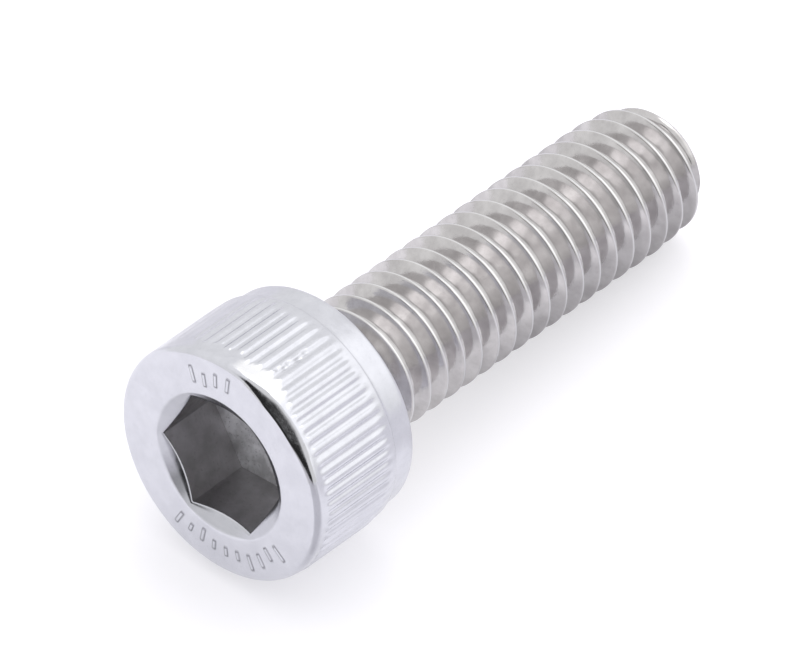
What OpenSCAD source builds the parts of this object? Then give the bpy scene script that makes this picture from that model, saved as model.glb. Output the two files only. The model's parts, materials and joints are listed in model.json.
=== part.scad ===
// Hex socket cap screw, M6 x 20, knurled cylindrical head, fully threaded.
// It lies as it comes to rest: two ridges of the knurl and the last crest of the
// thread touch the ground. The head points to -X and the tip to +X.

/* [Thread] */
// Outer diameter over the thread crests
thread_d = 5.8; // [5.4:0.05:7]
// Distance from crest to crest along the screw
thread_pitch = 1; // [0.75:0.05:1.25]
// Length under the head, from the bearing face to the tip
shank_length = 20; // [10:1:40]
// How far the end chamfer cuts in from the crests, at 45 degrees
tip_chamfer = 0.75; // [0.6:0.05:1.2]
// Length before the tip over which the thread is rolled lower and lower
tip_lead = 2.5; // [0.5:0.1:6]
// How much lower it would be at the tip
lead_drop = 0.24; // [0:0.02:0.4]
// Length over which the first thread grows out of the plain neck
thread_fade = 1; // [0.5:0.1:3]
// Turn of the thread about the screw's axis
thread_turn = 140; // [0:5:355]
// Flats round one turn of the thread
thread_sides = 36; // [24:4:40]

/* [Head] */
// Height of the head, from the face to the bearing face
head_h = 5.85; // [5.3:0.05:7]
// Diameter over the knurl's ridges
knurl_d = 10.2; // [9.8:0.1:12]
// Chamfer between the face and the knurl
face_chamfer = 0.35; // [0.2:0.05:0.5]
// Diameter of the plain band under the knurl
band_d = 9.68; // [9.4:0.04:9.8]
// Width of the plain band
band_w = 1.6; // [0.8:0.1:2.5]
// Chamfer between the band and the bearing face
bearing_chamfer = 0.25; // [0.1:0.05:0.5]
// Reach of the fillet under the head, which ends just outside the thread's crests
neck_fillet = 0.55; // [0.5:0.05:0.8]

/* [Knurl] */
// Distance from the face to the ridges, over a plain collar
knurl_start = 0.6; // [0.55:0.05:1.2]
// Number of ridges round the head
knurl_count = 64; // [48:4:72]
// Depth of the grooves between the ridges
knurl_depth = 0.25; // [0.2:0.01:0.35]
// Width of a ridge's crest, as a share of the ridge spacing
ridge_crest = 0.24; // [0.1:0.02:0.4]
// Width of a ridge's foot, as a share of the ridge spacing
ridge_foot = 0.62; // [0.5:0.02:0.9]
// Length over which the ridges run out at the band
ridge_runout = 0.3; // [0.15:0.05:0.6]

/* [Socket] */
// Width of the hexagon socket across its flats
socket_af = 5.14; // [4:0.02:5.6]
// Depth of the flats, measured from the face
socket_depth = 3; // [2:0.1:3.6]
// Depth of the shallow cone at the bottom of the socket
socket_point = 0.35; // [0.1:0.05:0.8]
// Turn of the hexagon about the screw's axis
socket_turn = 25; // [0:0.5:60]
// Diameter of the round mouth where it meets the face
mouth_d = 6.4; // [6.3:0.05:7.2]
// Angle of the mouth's cone
mouth_angle = 120; // [100:2:156]

/* [Hidden] */
$fn = 96;

steel = [0.80, 0.80, 0.82];
lap = 0.5;                                   // how far joined solids run into each other

// Thread section: 60 degree flanks, crest an eighth of the pitch wide
thread_r = thread_d / 2;
thread_depth = 0.6134 * thread_pitch;
root_r = thread_r - thread_depth;
neck_r = thread_r - 0.45 * thread_pitch;     // plain neck, near the pitch diameter
tip_r = thread_r - tip_chamfer;
half_crest = thread_pitch / 16;
flank_w = thread_depth * tan(30);
neck_z = neck_fillet + 0.1;                  // the thread starts here

// Stations of one pitch along the axis: [place, radius]
section = [
    [-half_crest, thread_r],
    [half_crest, thread_r],
    [half_crest + flank_w, root_r],
    [thread_pitch - half_crest - flank_w, root_r]
];
turns = ceil(shank_length / thread_pitch) + 3;
stations = len(section) * turns;
snap = thread_pitch / thread_sides / 3;      // stations this close to an end join it

function side_angle(j) = 360 * j / thread_sides;
function station_z(j, m) =
    section[m % 4][0]
    + thread_pitch * (floor(m / 4) - 2 + (side_angle(j) + thread_turn) / 360);

// The thread grows out of the neck, and the end chamfer cuts it off
function grown(r, z) = neck_r + (r - neck_r) * min(1, max(0, (z - neck_z) / thread_fade));
function lowered(z) = lead_drop * max(0, 1 - (shank_length - z) / tip_lead);
function station_r(j, m) =
    let (z = station_z(j, m))
    min(grown(section[m % 4][1], z) - lowered(z), tip_r + shank_length - z);

function ring_point(r, j, z) = [r * cos(side_angle(j)), r * sin(side_angle(j)), z];

// Knurl section
knurl_r = knurl_d / 2;
groove_r = knurl_r - knurl_depth;
face_r = knurl_r - face_chamfer;
collar_r = knurl_r - 0.03;
band_r = band_d / 2;
ridge_step = 360 / knurl_count;
ridge_end = -band_w - ridge_runout;

// Socket
mouth_r = mouth_d / 2;
mouth_in = mouth_r - socket_af / 2 + 0.2;    // the cone stops just inside the flats
mouth_depth = mouth_in / tan(mouth_angle / 2);

// At rest the head stands on the two ridges beside its lowest groove, and the
// shank tips down until the first crest along its underside touches
rest_r = knurl_r * cos(ridge_step * (1 - ridge_crest) / 2);
lie_angle = min([
    for (m = [0 : stations - 1])
        let (z = station_z(0, m))
        if (z > neck_z && z < shank_length)
            atan2(rest_r - station_r(0, m), z - ridge_end)
]);
axis_height = rest_r * cos(lie_angle) + ridge_end * sin(lie_angle);
head_x = min(
    -head_h * cos(lie_angle) - face_r * sin(lie_angle),
    (face_chamfer - 0.03 - head_h) * cos(lie_angle) - collar_r * sin(lie_angle)
);
tip_x = shank_length * cos(lie_angle) + tip_r * sin(lie_angle);

// Lays a screw whose axis is +Z, with its bearing face at z = 0, on the ground
module at_rest() {
    translate([-(head_x + tip_x) / 2, 0, axis_height])
        rotate([0, 90 + lie_angle, 0])
            children();
}

// Fillet, neck, thread and end chamfer as one closed skin round the axis
module threaded_shank() {
    rings = concat(
        [[neck_r + neck_fillet, -lap]],
        [for (a = [0 : 30 : 90]) [neck_r, 0] + neck_fillet * [1 - sin(a), 1 - cos(a)]]
    );
    // Each side of the shank has the rings first, then its stations, then the tip
    per_side = len(rings) + stations + 1;
    skin = [
        for (j = [0 : thread_sides - 1]) each concat(
            [for (ring = rings) ring_point(ring[0], j, ring[1])],
            [for (m = [0 : stations - 1]) ring_point(station_r(j, m), j, station_z(j, m))],
            [ring_point(tip_r, j, shank_length)]
        )
    ];
    // One turn on, side 0 carries on a pitch further along
    function ring_index(j, k) = (j % thread_sides) * per_side + k;
    function station_index(j, m) =
        station_z(j, m) < neck_fillet + snap ? ring_index(j, len(rings) - 1)
        : station_z(j, m) > shank_length - snap ? ring_index(j, per_side - 1)
        : ring_index(j, len(rings) + m + (j == thread_sides ? len(section) : 0));
    function quad(a, b, c, d) = [
        if (a != b && b != c && a != c) [a, c, b],
        if (a != c && c != d && a != d) [a, d, c]
    ];
    faces = concat(
        [[for (j = [0 : thread_sides - 1]) ring_index(thread_sides - 1 - j, 0)]],
        [for (j = [0 : thread_sides - 1], k = [0 : len(rings) - 2])
            each quad(ring_index(j, k), ring_index(j, k + 1),
                      ring_index(j + 1, k + 1), ring_index(j + 1, k))],
        [for (j = [0 : thread_sides - 1], m = [0 : stations - 2])
            each quad(station_index(j, m), station_index(j, m + 1),
                      station_index(j + 1, m + 1), station_index(j + 1, m))],
        [[for (j = [0 : thread_sides - 1]) ring_index(j, per_side - 1)]]
    );
    polyhedron(points = skin, faces = [for (f = faces) [for (i = [len(f) - 1 : -1 : 0]) f[i]]]);
}

// Outline of the knurl across the head: a ridge and a groove, repeated
module knurl_outline() {
    polygon([
        for (i = [0 : knurl_count - 1], corner = [
            [-ridge_foot / 2, groove_r],
            [-ridge_crest / 2, knurl_r],
            [ridge_crest / 2, knurl_r],
            [ridge_foot / 2, groove_r]
        ])
            let (a = (i + 0.5 + corner[0]) * ridge_step)
            corner[1] * [cos(a), sin(a)]
    ]);
}

// The knurl, turned down where its ridges run out, behind a collar at the face
module knurled_drum() {
    intersection() {
        translate([0, 0, knurl_start - head_h - lap])
            linear_extrude(head_h - knurl_start + lap - band_w)
                knurl_outline();
        rotate_extrude()
            polygon([
                [0, knurl_start - head_h - 0.1], [knurl_r + 0.01, knurl_start - head_h - 0.1],
                [knurl_r + 0.01, ridge_end],
                [groove_r - 0.05, -band_w], [0, -band_w]
            ]);
    }
    rotate_extrude()
        polygon([
            [0, -head_h], [face_r, -head_h], [collar_r, -head_h + face_chamfer - 0.03],
            [collar_r, knurl_start - head_h], [0, knurl_start - head_h]
        ]);
}

// The plain band, with a core that reaches into the knurled drum
module bearing_band() {
    rotate_extrude()
        polygon([
            [0, -band_w - lap], [groove_r - lap, -band_w - lap], [groove_r - lap, -band_w],
            [band_r - 0.05, -band_w], [band_r, 0.05 - band_w],
            [band_r, -bearing_chamfer],
            [band_r - bearing_chamfer, 0], [0, 0]
        ]);
}

// Hexagon with a shallow cone at its bottom and a round mouth at the face
module hex_socket() {
    translate([0, 0, -head_h]) {
        rotate([0, 0, socket_turn])
            translate([0, 0, -lap])
                cylinder(d = socket_af / cos(30), h = socket_depth + lap, $fn = 6);
        translate([0, 0, socket_depth - 0.01])
            cylinder(r1 = socket_af / 2 - 0.1, r2 = 0.2, h = socket_point);
        rotate_extrude()
            polygon([
                [0, -lap],
                [mouth_r + lap * tan(mouth_angle / 2), -lap],
                [mouth_r - mouth_in, mouth_depth],
                [0, mouth_depth]
            ]);
    }
}

module cap_screw() {
    color(steel)
        at_rest()
            difference() {
                union() {
                    knurled_drum();
                    bearing_band();
                    threaded_shank();
                }
                hex_socket();
            }
}

cap_screw();
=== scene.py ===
import json
import math

import bmesh
import bpy
from mathutils import Matrix, Vector


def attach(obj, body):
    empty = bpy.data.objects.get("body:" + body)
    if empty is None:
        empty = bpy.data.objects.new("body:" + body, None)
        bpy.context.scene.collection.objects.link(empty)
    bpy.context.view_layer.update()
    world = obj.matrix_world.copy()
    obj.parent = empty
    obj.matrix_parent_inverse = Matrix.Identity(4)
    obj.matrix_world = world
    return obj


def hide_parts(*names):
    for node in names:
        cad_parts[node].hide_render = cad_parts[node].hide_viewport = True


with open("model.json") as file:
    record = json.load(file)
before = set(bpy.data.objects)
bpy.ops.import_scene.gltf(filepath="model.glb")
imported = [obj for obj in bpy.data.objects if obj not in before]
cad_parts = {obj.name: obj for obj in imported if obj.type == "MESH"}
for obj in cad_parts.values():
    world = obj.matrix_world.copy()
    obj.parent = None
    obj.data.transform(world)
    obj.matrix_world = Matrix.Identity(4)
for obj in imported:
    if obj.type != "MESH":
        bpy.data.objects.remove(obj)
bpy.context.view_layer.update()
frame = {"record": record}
mm = 0.001

# Axis of the screw

# The screw lies with its head towards -X, and its axis dips towards the tip. The
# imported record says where: the socket is at the face, the thread ends at the tip.
mounts = {mount["name"]: mount for mount in frame["record"]["mounts"]}
along = Vector(mounts["thread"]["axis"]).normalized()
seat_centre = Vector(mounts["bearing_face"]["pos_m"])
seat_centre.y = 0
tip_centre = Vector(mounts["thread"]["pos_m"])
face_centre = Vector(mounts["hex_socket"]["pos_m"])
shank_length = (tip_centre - seat_centre).dot(along)
head_height = (seat_centre - face_centre).dot(along)

# Its parts are made upright, with the axis on +Z and the bearing face at z = 0, and
# then laid down with local +X to the ground
to_side = Vector((0, 1, 0))
to_ground = to_side.cross(along)
laid_down = Matrix.Translation(seat_centre) @ Matrix(
    (to_ground, to_side, along)
).transposed().to_4x4()

# Steel

# Cold-formed austenitic stainless steel, tumbled bright after the thread is rolled.
# The head is satin and bluish, the rolled flanks are smoother and darker, and the
# walls that the punch left in the socket are dull. The socket's floor is rough, and its
# near-white colour is painted light.


class Reading:
    """A value in a node tree. Arithmetic on it adds Math nodes to the tree."""

    def __init__(self, socket):
        self.socket = socket
        self.tree = socket.id_data

    def __add__(self, other):
        return reckon("ADD", self, other)

    def __sub__(self, other):
        return reckon("SUBTRACT", self, other)

    def __rsub__(self, other):
        return reckon("SUBTRACT", other, self)

    def __mul__(self, other):
        return reckon("MULTIPLY", self, other)

    def __truediv__(self, other):
        return reckon("DIVIDE", self, other)

    def __rtruediv__(self, other):
        return reckon("DIVIDE", other, self)

    __radd__ = __add__
    __rmul__ = __mul__


def feed(socket, value):
    """Links a socket to a reading or to a node's output, or sets its value."""
    if isinstance(value, Reading):
        value = value.socket
    if isinstance(value, bpy.types.NodeSocket):
        socket.id_data.links.new(value, socket)
    else:
        socket.default_value = value


def add_node(tree, kind, inputs=(), **settings):
    """A node with its settings and its inputs."""
    node = tree.nodes.new(kind)
    for name, value in settings.items():
        setattr(node, name, value)
    for name, value in dict(inputs).items():
        feed(node.inputs[name], value)
    return node


def readings_of(node):
    """What a node puts out, by name."""
    return {socket.name: Reading(socket) for socket in node.outputs}


def reckon(operation, *values):
    """One Math node, in the tree of its values."""
    tree = next(value.tree for value in values if isinstance(value, Reading))
    return Reading(add_node(tree, "ShaderNodeMath", enumerate(values), operation=operation).outputs[0])


def remap(value, low, high, new_low, new_high, smooth=False):
    """One Map Range node, clamped."""
    node = add_node(value.tree, "ShaderNodeMapRange",
                    enumerate((value, low, high, new_low, new_high)),
                    interpolation_type="SMOOTHSTEP" if smooth else "LINEAR")
    return Reading(node.outputs[0])


def blend(share, first, second):
    """Goes from the first value to the second as the share goes from 0 to 1."""
    return remap(share, 0, 1, first, second)


tumbled_skin = bpy.data.node_groups.new("tumbled_skin", "ShaderNodeTree")
for name in ("Clouds", "Pits", "Scuffs"):
    tumbled_skin.interface.new_socket(name, in_out="INPUT", socket_type="NodeSocketFloat")
for name in ("Tone", "Wear", "Relief"):
    tumbled_skin.interface.new_socket(name, in_out="OUTPUT", socket_type="NodeSocketFloat")
amount = readings_of(add_node(tumbled_skin, "NodeGroupInput"))
on_object = add_node(tumbled_skin, "ShaderNodeTexCoord").outputs["Object"]


def grain(size, detail, low, high):
    """Noise on the object, its blotches about as wide as the size, cut to 0 to 1."""
    noise = add_node(tumbled_skin, "ShaderNodeTexNoise", {
        "Vector": on_object, "Scale": 1 / size, "Detail": detail, "Roughness": 0.6})
    return remap(Reading(noise.outputs["Fac"]), low, high, 0, 1)


clouds = amount["Clouds"] * grain(0.8 * mm, 3, 0.35, 0.65)
pits = amount["Pits"] * grain(0.13 * mm, 2, 0.60, 0.72)
scuffs = amount["Scuffs"] * grain(0.35 * mm, 4, 0.40, 0.70)
add_node(tumbled_skin, "NodeGroupOutput", {
    "Tone": clouds + pits, "Wear": scuffs, "Relief": scuffs * 0.5 - pits})


def steel(name, light, dark, roughness, clouds, pits, scuffs, relief):
    """A finish of the steel: two tones, the roughness between two limits, and how
    much of the tumbled skin shows."""
    material = bpy.data.materials.new(name)
    material.use_nodes = True
    tree = material.node_tree
    skin = readings_of(add_node(tree, "ShaderNodeGroup", {
        "Clouds": clouds, "Pits": pits, "Scuffs": scuffs}, node_tree=tumbled_skin))
    tone = add_node(tree, "ShaderNodeMix", {
        "Factor": skin["Tone"], "A": (*light, 1), "B": (*dark, 1)}, data_type="RGBA")
    bump = add_node(tree, "ShaderNodeBump", {
        "Strength": 1.0, "Distance": relief, "Height": skin["Relief"]})
    shader = tree.nodes["Principled BSDF"].inputs
    feed(shader["Metallic"], 1.0)
    feed(shader["Base Color"], tone.outputs["Result"])
    feed(shader["Roughness"], blend(skin["Wear"], *roughness))
    feed(shader["Normal"], bump.outputs["Normal"])
    return material


satin_head = steel("satin_head_steel", (0.665, 0.67, 0.715), (0.55, 0.555, 0.60),
                   (0.18, 0.27), 0.4, 0.3, 1.0, 0.0015 * mm)
blunted_edge = steel("blunted_edge_steel", (0.60, 0.60, 0.63), (0.50, 0.50, 0.52),
                     (0.10, 0.16), 0.4, 0.3, 1.0, 0.0015 * mm)
rolled_thread = steel("rolled_thread_steel", (0.61, 0.595, 0.595), (0.48, 0.465, 0.465),
                      (0.11, 0.19), 0.85, 0.3, 1.0, 0.002 * mm)
punched_wall = steel("punched_wall_steel", (0.50, 0.49, 0.50), (0.33, 0.32, 0.32),
                     (0.28, 0.42), 0.6, 0.4, 1.0, 0.003 * mm)
# Rough floor of the socket; its near-white colour is painted light that brightens the recess
punched_floor_painted_light = steel("punched_floor_painted_light_steel", (0.95, 0.95, 0.98), (0.58, 0.58, 0.60),
                      (0.60, 0.75), 0.9, 0.8, 1.0, 0.004 * mm)

# Head

# A cold-formed cylinder. The face is flat, with a hexagon punched in through a round
# mouth. The side is rolled with 64 ridges between a plain collar and a plain band.
head_sizes = {
    "Sides": 640, "Face Height": -head_height,
    "Knurl Count": 64, "Knurl Radius": 5.1 * mm, "Knurl Depth": 0.085 * mm,
    "Knurl Start": 0.42 * mm, "Knurl End": 4.45 * mm, "Collar Radius": 5.05 * mm,
    "Socket Depth": 3.0 * mm, "Socket Flat": 2.57 * mm, "Socket Turn": 44 / 640,
    "Mouth Radius": 3.2 * mm, "Mouth Slope": math.tan(math.radians(60)),
    "Mark Height": 0.035 * mm,
}
mouth_radius = head_sizes["Mouth Radius"]
socket_flat = head_sizes["Socket Flat"]
socket_point = 0.35 * mm
collar_radius = head_sizes["Collar Radius"]
band_radius = 4.84 * mm
edge_round = 0.32 * mm
face_radius = collar_radius - edge_round
seat_round = 0.26 * mm
seat_ring_radius = 3.2 * mm

# Half a section through the head, from the middle of the socket's floor out over the
# face and back along the side to the seat. Depths are from the face. A corner with a
# share of the hexagon or of the mouth's cone is placed by the tree. Where the edge of
# the face is blunted, its corners move in and down.
section = bmesh.new()
part_names = ("hexagon", "wall", "cone", "flat", "knurl", "blunt_in", "blunt_down")
parts = {name: section.verts.layers.float.new(name) for name in part_names}


def corner(radius, depth, **shares):
    """Adds a corner to the section."""
    vertex = section.verts.new((radius, 0, depth - head_height))
    for name, share in shares.items():
        vertex[parts[name]] = share


for share in (0, 0.06, 0.5, 0.93, 1):
    corner(socket_flat * share,
           head_sizes["Socket Depth"] + socket_point * (1 - share), hexagon=1)
for share in (0.1, 0.5, 0.9, 0.97, 0.985):
    corner(socket_flat, 0, hexagon=1, wall=share)
for share in (0.93, 0.6, 0.2):
    corner(0, 0, cone=share)
corner(mouth_radius - 0.01 * mm, 0.003 * mm)
flat_start = mouth_radius + 0.03 * mm
flat_end = face_radius - 0.14 * mm
flat_rows = 23
for row in range(flat_rows):
    corner(flat_start + (flat_end - flat_start) * row / (flat_rows - 1), 0, flat=1)
corner(face_radius - 0.05 * mm, 0, blunt_in=0.07 * mm)

# Radius and depth of the edge's corners where it is blunted, in mm
blunted = ((4.665, 0.003), (4.685, 0.015), (4.74, 0.072), (4.83, 0.165), (4.92, 0.258),
           (4.99, 0.332), (5.02, 0.368), (5.05, 0.41))
for step, (radius, depth) in enumerate(blunted):
    turn = math.pi / 2 * step / (len(blunted) - 1)
    rounded = (face_radius + edge_round * math.sin(turn), edge_round * (1 - math.cos(turn)))
    corner(*rounded, blunt_in=rounded[0] - radius * mm, blunt_down=depth * mm - rounded[1])

# The knurl's rows crowd where its ridges start and end
knurl_rows = [0.43 + 0.07 * row for row in range(12)] + [1.35 + 0.46 * row for row in range(6)]
for depth in knurl_rows:
    corner(collar_radius, depth * mm, knurl=1)
for row in range(7):
    corner(collar_radius - 0.003 * row * mm, (3.85 + 0.1 * row) * mm, knurl=1)
for radius, depth in ((5.025, 4.53), (5.005, 4.56), (4.87, 4.61)):
    corner(radius * mm, depth * mm)
for depth in (4.66, 4.8, 5.15, 5.5):
    corner(band_radius, depth * mm)
for step in range(7):
    turn = math.radians(15 * step)
    corner(band_radius - seat_round * (1 - math.cos(turn)),
           head_height - seat_round * (1 - math.sin(turn)))
for radius in (4.2 * mm, seat_ring_radius):
    corner(radius, head_height)
section_mesh = bpy.data.meshes.new("head_section")
section.to_mesh(section_mesh)
section.free()
head = bpy.data.objects.new("knurled_head", section_mesh)
bpy.context.collection.objects.link(head)


def tree_with_inputs(name, sizes):
    """A Geometry Nodes tree with one named input for each size, and their readings."""
    tree = bpy.data.node_groups.new(name, "GeometryNodeTree")
    tree.interface.new_socket("Geometry", in_out="INPUT", socket_type="NodeSocketGeometry")
    for label, value in sizes.items():
        kind = "NodeSocketInt" if isinstance(value, int) else "NodeSocketFloat"
        tree.interface.new_socket(label, in_out="INPUT", socket_type=kind)
    tree.interface.new_socket("Geometry", in_out="OUTPUT", socket_type="NodeSocketGeometry")
    return tree, readings_of(add_node(tree, "NodeGroupInput"))


def grid_round_axis(tree, rows, sides):
    """A grid with rows along the section and columns round the axis: its mesh, each
    point's row, and its share of the turn."""
    columns = sides + 1
    grid = add_node(tree, "GeometryNodeMeshGrid", {"Vertices X": rows, "Vertices Y": columns})
    index = Reading(add_node(tree, "GeometryNodeInputIndex").outputs[0])
    row = reckon("FLOOR", (index + 0.5) / columns)
    return Reading(grid.outputs["Mesh"]), row, (index - row * columns) / sides


turning, given = tree_with_inputs("turned_head", head_sizes)
count = add_node(turning, "GeometryNodeAttributeDomainSize", {"Geometry": given["Geometry"]})
mesh, row, share = grid_round_axis(turning, count.outputs["Point Count"], given["Sides"])


def of_section(value, kind):
    """A value of the section's corner at this row of the grid."""
    sample = add_node(turning, "GeometryNodeSampleIndex", {
        "Geometry": given["Geometry"], "Value": value, "Index": row}, data_type=kind)
    return Reading(sample.outputs[0])


corner_place = add_node(turning, "GeometryNodeInputPosition").outputs[0]
outline = readings_of(add_node(turning, "ShaderNodeSeparateXYZ", {
    0: of_section(corner_place, "FLOAT_VECTOR")}))
shares = {}
for name in part_names:
    named = add_node(turning, "GeometryNodeInputNamedAttribute", {"Name": name}, data_type="FLOAT")
    shares[name] = of_section(named.outputs[0], "FLOAT")
depth = outline["Z"] - given["Face Height"]

# Socket: the hexagon's distance from the axis at this angle, and the cone above it
sixth = reckon("FRACT", (share - given["Socket Turn"] + 1) * 6)
off_flat = (sixth - 0.5) * (math.tau / 6)
widening = 1 / reckon("COSINE", off_flat)
wall_radius = given["Socket Flat"] * widening
cone_depth = (given["Mouth Radius"] - wall_radius) / given["Mouth Slope"]
on_wall = reckon("GREATER_THAN", shares["wall"], 0)
on_cone = reckon("GREATER_THAN", shares["cone"], 0)


def uneven(number, seed):
    """A random share for each ridge or mark."""
    random = add_node(number.tree, "FunctionNodeRandomValue", {"ID": number, "Seed": seed},
                      data_type="FLOAT")
    return Reading(random.outputs["Value"])


def turned_from(start, full, fall, end):
    """A mask round the head: it grows from 0 to 1 and falls again, at four angles in
    degrees from the top of the head towards the side that is seen."""
    start, full, fall, end = ((180 + angle) / 360 for angle in (start, full, fall, end))
    return (remap(share, start, full, 0, 1, smooth=True)
            * remap(share, fall, end, 1, 0, smooth=True))


# Knurl: rounded ridges, each cut a little deeper or less deep than the next. At the
# top of the head they start later, where their ends are rubbed down to the collar,
# and on the far side of the top a stretch of them is worn nearly flat.
around = share * given["Knurl Count"]
number = reckon("MODULO", reckon("FLOOR", around), given["Knurl Count"])
off_crest = reckon("ABSOLUTE", reckon("FRACT", around) - 0.5)
groove = remap(off_crest, 0.11, 0.44, 0, 1, smooth=True)
rubbed = turned_from(-80, -60, 18, 34)
worn_flat = turned_from(-75, -62, -32, -20)
start = (given["Knurl Start"] + rubbed * blend(uneven(number, 3), 0.22 * mm, 0.5 * mm)
         + blend(uneven(number, 5), 0.0, 0.1 * mm))
started = remap(depth - start, 0, 0.25 * mm, 0, 1, smooth=True)
ended = remap(given["Knurl End"] - depth, 0, 0.6 * mm, 0, 1, smooth=True)
rolled = shares["knurl"] * started * ended * blend(worn_flat, 1.0, 0.12)
rise = rolled * (given["Knurl Radius"] - given["Collar Radius"])
cut = rolled * groove * given["Knurl Depth"] * blend(uneven(number, 7), 0.8, 1.0)

# Past the rubbed stretch the edge of the face is blunted over a sixth of the turn
lens = turned_from(6, 28, 40, 68)


def row_of_bars(first, step, bars):
    """Plain raised bars across the face, on an arc from the first share of the turn
    on, some longer than others: 1 on a bar and 0 beside it."""
    place = reckon("FRACT", share - first + 1) / step
    bar = reckon("FLOOR", place)
    beside = reckon("ABSOLUTE", reckon("FRACT", place) - 0.5) * outline["X"] * (step * math.tau)
    past_inner = outline["X"] - blend(uneven(bar, 11), 3.45 * mm, 3.85 * mm)
    past_outer = outline["X"] - blend(uneven(bar, 13), 4.1 * mm, 4.5 * mm)
    return (reckon("LESS_THAN", bar, bars - 0.5)
            * remap(beside, 0.04 * mm, 0.12 * mm, 1, 0, smooth=True)
            * remap(past_inner, -0.07 * mm, 0.07 * mm, 0, 1, smooth=True)
            * remap(past_outer, -0.07 * mm, 0.07 * mm, 1, 0, smooth=True))


# The face carries a short row of plain raised bars at its top, a longer one below
marked = shares["flat"] * (row_of_bars(151.5 / 360, 8.5 / 360, 4)
                           + row_of_bars(301 / 360, 8.8 / 360, 10))

side_radius = outline["X"] + rise - cut - lens * shares["blunt_in"]
radius = blend(shares["hexagon"], side_radius, outline["X"] * widening)
radius = blend(on_cone, radius, blend(shares["cone"], given["Mouth Radius"], wall_radius))
wall_top = given["Face Height"] + cone_depth
wall_foot = given["Face Height"] + given["Socket Depth"]
height = blend(on_wall, outline["Z"], blend(shares["wall"], wall_foot, wall_top))
height = blend(on_cone, height, given["Face Height"] + cone_depth * shares["cone"])
height = height + lens * shares["blunt_down"] - marked * given["Mark Height"]

# Painted shade darkens the feet of the bars and the mouth of the socket, most on one
# flat. At the edge, where the ridges' ends are rubbed, a painted highlight whitens the
# metal. Both are painted by attributes of the skin.
painted_mouth_shade = blend(turned_from(-152, -143, -134, -127), 0.28, 0.5)
painted_shade = 4 * marked * (1 - marked) + on_cone * painted_mouth_shade
# Painted highlight: the rubbed ends of the ridges near the face are painted white
painted_highlight = (turned_from(-1, 4, 22, 30)
             * remap(depth, 0.2 * mm, 0.32 * mm, 0, 1, smooth=True)
             * remap(depth - start, 0.0, 0.2 * mm, 1, 0, smooth=True))


def keep_on_skin(mesh, name, value):
    """Keeps a value as an attribute of the mesh."""
    store = add_node(mesh.tree, "GeometryNodeStoreNamedAttribute", {
        "Geometry": mesh, "Name": name, "Value": value}, data_type="FLOAT")
    return Reading(store.outputs[0])


def paint(material, attribute, colour):
    """Paints shade and highlights: blends a finish to another colour where the skin's attribute is 1.
    """
    tree = material.node_tree
    base_colour = tree.nodes["Principled BSDF"].inputs["Base Color"]
    plain = base_colour.links[0].from_socket
    mask = add_node(tree, "ShaderNodeAttribute", attribute_name=attribute)
    over = add_node(tree, "ShaderNodeMix", {
        "Factor": mask.outputs["Fac"], "A": plain, "B": (*colour, 1)}, data_type="RGBA")
    feed(base_colour, over.outputs["Result"])


def wrap_round_axis(mesh, radius, share, height, material):
    """Moves the grid's points to their radius, angle and height, closes the seam and
    the poles, and gives the skin its finish."""
    tree = mesh.tree
    angle = share * math.tau
    place = add_node(tree, "ShaderNodeCombineXYZ", {
        "X": radius * reckon("COSINE", angle), "Y": radius * reckon("SINE", angle),
        "Z": height})
    wrap = add_node(tree, "GeometryNodeSetPosition", {
        "Geometry": mesh, "Position": place.outputs[0]})
    close = add_node(tree, "GeometryNodeMergeByDistance", {
        "Geometry": wrap.outputs[0], "Distance": 0.0004 * mm})
    realize = add_node(tree, "GeometryNodeRealizeInstances", {"Geometry": close.outputs[0]})
    finish = add_node(tree, "GeometryNodeSetMaterial", {
        "Geometry": realize.outputs[0], "Material": material})
    add_node(tree, "NodeGroupOutput", {"Geometry": finish.outputs[0]})


def run_tree(piece, tree, sizes):
    """Runs the tree on a piece and keeps what it makes as the piece's plain mesh."""
    modifier = piece.modifiers.new(tree.name, "NODES")
    modifier.node_group = tree
    for item in tree.interface.items_tree:
        if item.in_out == "INPUT" and item.name in sizes:
            modifier[item.identifier] = sizes[item.name]
    shaped = piece.evaluated_get(bpy.context.evaluated_depsgraph_get())
    made = bpy.data.meshes.new_from_object(shaped)
    piece.modifiers.remove(modifier)
    piece.data = made


# The head's painted shade and painted highlight are kept on its skin and mixed into its colour
mesh = keep_on_skin(mesh, "painted_shade", painted_shade)
mesh = keep_on_skin(mesh, "painted_highlight", painted_highlight)
paint(satin_head, "painted_shade", (0.16, 0.16, 0.18))
paint(satin_head, "painted_highlight", (0.90, 0.90, 0.92))
wrap_round_axis(mesh, radius, share, height, satin_head)
run_tree(head, turning, head_sizes)

# Shank

# Wire with an M6 right-hand thread rolled into it up to the head. The crests are
# narrow flats, the roots are round, and the last turns run lower to a chamfered end.
rows_per_pitch = 14
thread_sizes = {
    "Sides": 128, "Rows per Pitch": rows_per_pitch, "Rows": rows_per_pitch * 24 + 1,
    "Crest Radius": 2.9 * mm, "Pitch": 1.0 * mm, "Depth": 0.6134 * mm,
    "Turn": 140 / 360, "Length": shank_length,
    "Neck Radius": 2.45 * mm, "Neck Fillet": 0.55 * mm, "Neck Start": 0.65 * mm,
    "Fade": 1.0 * mm, "Seat Ring": 3.1 * mm,
    "Tip Radius": 2.13 * mm, "Tip Lead": 2.5 * mm, "Lead Drop": 0.24 * mm,
}
shank = bpy.data.objects.new("threaded_shank", bpy.data.meshes.new("shank_start"))
bpy.context.collection.objects.link(shank)
rolling, given = tree_with_inputs("rolled_thread", thread_sizes)
mesh, row, share = grid_round_axis(rolling, given["Rows"], given["Sides"])
pitch = given["Pitch"]

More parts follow.
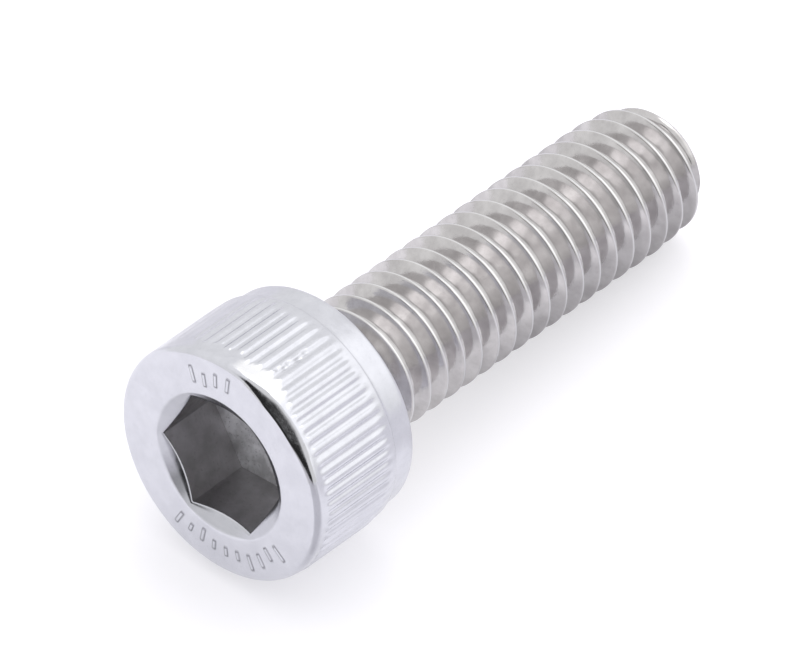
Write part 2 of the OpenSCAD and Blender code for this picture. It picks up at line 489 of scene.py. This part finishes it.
# Where the rows of half a pitch lie, as shares of it from the middle of a crest to the
# middle of a root: they crowd where the section turns
crest_to_root = (0, 0.10, 0.128, 0.165, 0.42, 0.72, 0.86, 1)
steps = rows_per_pitch // 2
even = row / given["Rows per Pitch"]
crest = reckon("ROUND", even)
past_crest = even - crest
folded = reckon("ABSOLUTE", past_crest) * (2 * steps)
placed = sum(remap(folded, step, step + 1, 0, crest_to_root[step + 1] - crest_to_root[step])
             for step in range(steps))
in_pitches = crest + reckon("SIGN", past_crest) * placed * 0.5
run = pitch * (in_pitches + share + given["Turn"] - 2)
height = reckon("MINIMUM", run, given["Length"])

# Thread section, by the distance from the middle of the crest
off_crest = reckon("ABSOLUTE", in_pitches - reckon("ROUND", in_pitches))
flank = (off_crest - 1 / 16) * pitch * math.tan(math.radians(60))
fallen = reckon("SMOOTH_MAX", flank, 0.0, 0.008 * mm)
fallen = reckon("SMOOTH_MIN", fallen, given["Depth"], 0.16 * mm)
grown = remap(height - given["Neck Start"], 0, given["Fade"], 0, 1, smooth=True)
radius = blend(grown, given["Neck Radius"], given["Crest Radius"] - fallen)
to_tip = given["Length"] - height
lowered = remap(to_tip, 0, given["Tip Lead"], given["Lead Drop"], 0)
radius = reckon("SMOOTH_MIN", radius - lowered, given["Tip Radius"] + to_tip, 0.05 * mm)

# Past the tip the rows run in over the end face, to its middle
radius = blend((run - given["Length"]) / pitch, radius, 0.0)

# Before the neck they run out round the fillet, and flat along the seat
fillet = given["Neck Fillet"]
before = reckon("MAXIMUM", given["Neck Start"] - run, 0)
past_neck = before - (given["Neck Start"] - fillet)
arc_length = fillet * (math.pi / 2)
arc = remap(past_neck, 0, arc_length, 0, math.pi / 2)
flat_room = given["Seat Ring"] - (given["Neck Radius"] + fillet)
flat = reckon("MINIMUM", reckon("MAXIMUM", past_neck - arc_length, 0), flat_room)
radius = radius + flat + fillet * (1 - reckon("COSINE", arc))
height = blend(reckon("GREATER_THAN", past_neck, 0), height,
               fillet * (1 - reckon("SINE", arc)))

# A painted highlight lightens the middle of the crest, up to the chamfer
painted_highlight = (remap(off_crest, 0, 0.05, 1, 0) * grown
             * remap(to_tip, 0.1 * mm, 0.5 * mm, 0, 1))
mesh = keep_on_skin(mesh, "painted_highlight", painted_highlight)
paint(rolled_thread, "painted_highlight", (0.77, 0.77, 0.78))
wrap_round_axis(mesh, radius, share, height, rolled_thread)
run_tree(shank, rolling, thread_sizes)

# One piece of steel

# Head and shank are one forging, so their skins are joined at the seat: each point of
# the shank's last ring meets five points of the head's.
whole = bmesh.new()
whole.from_mesh(head.data)


def place_on_head(point):
    """Degrees from the top towards the side that is seen, distance from the axis, and
    depth below the face."""
    return (math.degrees(math.atan2(point.y, point.x)) % 360 - 180,
            math.hypot(point.x, point.y), point.z + head_height)


def is_knocked(point):
    """Whether a point lies on the ridge that was knocked."""
    angle, off_axis, depth = place_on_head(point)
    return 12 < angle < 19 and off_axis > 4.9 * mm and 1.25 * mm < depth < 3.2 * mm


# The knock has left a row of small nicks along the ridge, and painted shade darkens
# them. Their places are in degrees from the top and in mm from the face.
nicks = ((14.8, 1.4), (15.9, 1.7), (15.1, 1.95), (16.2, 2.45), (15.3, 2.9))
nick_depth = 0.06 * mm
knocked = set()
for face in whole.faces:
    if is_knocked(face.calc_center_median()):
        knocked.update(face.edges)
bmesh.ops.subdivide_edges(whole, edges=list(knocked), cuts=3, use_grid_fill=True)
# The nicks' painted shade goes into the same layer as the head's other painted shade
painted = whole.verts.layers.float["painted_shade"]
for vertex in whole.verts:
    if is_knocked(vertex.co):
        angle, off_axis, depth = place_on_head(vertex.co)
        nick = max(math.exp(-((angle - turned) / 0.9) ** 2 - ((depth / mm - below) / 0.1) ** 2)
                   for turned, below in nicks)
        vertex.co.xy *= 1 - nick_depth * nick / off_axis
        vertex[painted] = 0.3 * nick

# Finishes of the head's faces
whole.normal_update()
finishes = [satin_head, blunted_edge, punched_wall, punched_floor_painted_light, rolled_thread]
for face in whole.faces:
    angle, off_axis, depth = place_on_head(face.calc_center_median())
    slope = abs(face.normal.z)
    finish = satin_head
    if off_axis < mouth_radius and depth < 4 * mm:
        finish = punched_wall if slope < 0.1 else punched_floor_painted_light if depth > mm else satin_head
    elif off_axis > 4.67 * mm and depth < 0.37 * mm and 0.3 < slope < 0.95 and 10 < angle < 66:
        finish = blunted_edge
    face.material_index = finishes.index(finish)

# The shank's skin comes in, and a fan of faces closes the ring between the two
head_faces = len(whole.faces)
whole.from_mesh(shank.data)
whole.faces.ensure_lookup_table()
for face in whole.faces[head_faces:]:
    face.material_index = finishes.index(rolled_thread)
inner, outer = [], []
for vertex in whole.verts:
    if vertex.is_boundary:
        at_shank = math.hypot(vertex.co.x, vertex.co.y) < seat_ring_radius - 0.05 * mm
        (inner if at_shank else outer).append(vertex)
for ring in (inner, outer):
    ring.sort(key=lambda vertex: round(math.atan2(vertex.co.y, vertex.co.x) % math.tau, 6))
fan = len(outer) // len(inner)
half_way = (fan + 1) // 2
for i, vertex in enumerate(inner):
    next_vertex = inner[(i + 1) % len(inner)]
    fan_points = [outer[(i * fan + j) % len(outer)] for j in range(fan + 1)]
    for j in range(fan):
        tip = vertex if j < half_way else next_vertex
        whole.faces.new((tip, fan_points[j + 1], fan_points[j]))
    whole.faces.new((vertex, next_vertex, fan_points[half_way]))
bmesh.ops.recalc_face_normals(whole, faces=whole.faces)

# Only the corners of the hexagon are sharp
for face in whole.faces:
    face.smooth = True
for edge in whole.edges:
    middle = (edge.verts[0].co + edge.verts[1].co) / 2
    in_socket = math.hypot(middle.x, middle.y) < mouth_radius and middle.z < -2 * mm
    if in_socket and edge.is_manifold and edge.calc_face_angle() > math.radians(50):
        edge.smooth = False
screw_mesh = bpy.data.meshes.new("cap_screw_steel")
whole.to_mesh(screw_mesh)
whole.free()
for made in (head, shank):
    bpy.data.objects.remove(made)
for finish in finishes:
    screw_mesh.materials.append(finish)
screw_mesh.transform(laid_down)
screw = bpy.data.objects.new("cap_screw_steel", screw_mesh)
bpy.context.collection.objects.link(screw)
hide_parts("cap_screw")
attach(screw, "root")

# Floor

# White paper under the screw. Its glow makes the camera see it a little brighter than
# the light makes it, as white as the background. The steel sees an uneven glow, a
# painted reflection: less under the thread and none in front of the head.
floor_mesh = bpy.data.meshes.new("white_paper")
half = 2.0
floor_mesh.from_pydata([(-half, -half, 0), (half, -half, 0), (half, half, 0), (-half, half, 0)],
                       [], [(0, 1, 2, 3)])
floor = bpy.data.objects.new("white_paper", floor_mesh)
bpy.context.collection.objects.link(floor)
paper = bpy.data.materials.new("white_paper")
paper.use_nodes = True
tree = paper.node_tree
shader = tree.nodes["Principled BSDF"]
feed(shader.inputs["Base Color"], (0.60, 0.59, 0.63, 1))
feed(shader.inputs["Roughness"], 0.9)
feed(shader.inputs["Specular IOR Level"], 0.0)
on_floor = readings_of(add_node(tree, "ShaderNodeSeparateXYZ", {
    0: add_node(tree, "ShaderNodeTexCoord").outputs["Object"]}))
# Painted reflection for the steel: the paper's glow falls off under the thread and is gone in front of
# the head
before_head = (remap(on_floor["X"], -14 * mm, -9 * mm, 1, 0)
               * remap(on_floor["Y"], -7 * mm, -4 * mm, 1, 0))
seen_by_steel = remap(on_floor["X"], -4 * mm, 1 * mm, 0.44, 0.18) * (1 - before_head)
rays = readings_of(add_node(tree, "ShaderNodeLightPath"))
glow = add_node(tree, "ShaderNodeEmission", {"Strength": reckon(
    "MAXIMUM", 0.46 * rays["Is Camera Ray"], seen_by_steel * rays["Is Glossy Ray"])})
both = add_node(tree, "ShaderNodeAddShader", {0: shader.outputs[0], 1: glow.outputs[0]})
feed(tree.nodes["Material Output"].inputs["Surface"], both.outputs[0])
floor_mesh.materials.append(paper)

# Light

# A white tent, open towards the camera: brighter overhead and to the right, dark where
# it opens, and a soft light behind the screw that throws its shadow to the front.
world = bpy.data.worlds.new("light_tent")
world.use_nodes = True
bpy.context.scene.world = world
tree = world.node_tree
towards = Reading(add_node(tree, "ShaderNodeTexCoord").outputs["Generated"])
upwards = readings_of(add_node(tree, "ShaderNodeSeparateXYZ", {0: towards}))["Z"]


def direction(azimuth, elevation):
    """The azimuth is from -Y, towards +X, and both are in degrees."""
    a, e = math.radians(azimuth), math.radians(elevation)
    return Vector((math.sin(a) * math.cos(e), -math.cos(a) * math.cos(e), math.sin(e)))


def angle_from(middle):
    """How far from a direction the world is seen, in degrees."""
    dot = add_node(tree, "ShaderNodeVectorMath", {0: towards, 1: middle}, operation="DOT_PRODUCT")
    return reckon("DEGREES", reckon("ARCCOSINE", Reading(dot.outputs["Value"])))


level = remap(upwards, 0.0, 0.8, 0.98, 1.06, smooth=True)
window = (remap(angle_from(direction(45, 15)), 40, 49, 1, 0)
          * remap(upwards, 0.0, 0.5, 0.1, 1, smooth=True))
level = blend(window, level, 1.42)

# Two bright panels overhead, and a gap beside the opening that is half dark
for middle, full, none, brightness in (
    (direction(95, 72), 12, 22, 2.3),
    (direction(46, 56), 7, 13, 1.9),
    (direction(-66, -2), 12, 32, 0.55),
):
    panel = remap(angle_from(middle), full, none, 1, 0, smooth=True)
    level = blend(panel, level, brightness)

# The opening is a dark slot that leans from the upper left to the lower right
slot_ends = direction(-105, 45), direction(-45, 0)
across = reckon("ABSOLUTE", angle_from(slot_ends[0].cross(slot_ends[1]).normalized()) - 90)
from_middle = angle_from((slot_ends[0] + slot_ends[1]).normalized())
opening = (remap(across, 10, 18, 1, 0, smooth=True)
           * remap(from_middle, 34, 44, 1, 0, smooth=True))
level = blend(opening, level, 0.03)
rays = readings_of(add_node(tree, "ShaderNodeLightPath"))
background = tree.nodes["Background"]
feed(background.inputs["Strength"], blend(rays["Is Camera Ray"], level, 1.0))
feed(background.inputs["Color"], (1, 1, 1, 1))

light = bpy.data.lights.new("light_behind", "AREA")
light.shape = "RECTANGLE"
light.size = light.size_y = 0.3
light.energy = 0.5
lamp = bpy.data.objects.new("light_behind", light)
lamp.location = (0.22, 0.20, 0.45)
lamp.rotation_euler = lamp.location.to_track_quat("Z", "Y").to_euler()
lamp.visible_glossy = False
bpy.context.collection.objects.link(lamp)

# Camera

# A long lens from far off, looking down on the head at 46 degrees. It turns about a
# point inside the screw.
camera_data = bpy.data.cameras.new("long_lens")
camera_data.sensor_width = 36
camera_data.lens = 621.45
camera_data.clip_start = 0.01
camera = bpy.data.objects.new("long_lens", camera_data)
bpy.context.collection.objects.link(camera)
bpy.context.scene.camera = camera
turned_about = Vector((-0.80795, 1.01219, 2.96639)) * mm
backwards = direction(-48.51819, 46.11518)
camera.location = turned_about + backwards * 541.48 * mm
camera.rotation_euler = backwards.to_track_quat("Z", "Y").to_euler()

bpy.context.scene.view_settings.view_transform = "Standard"
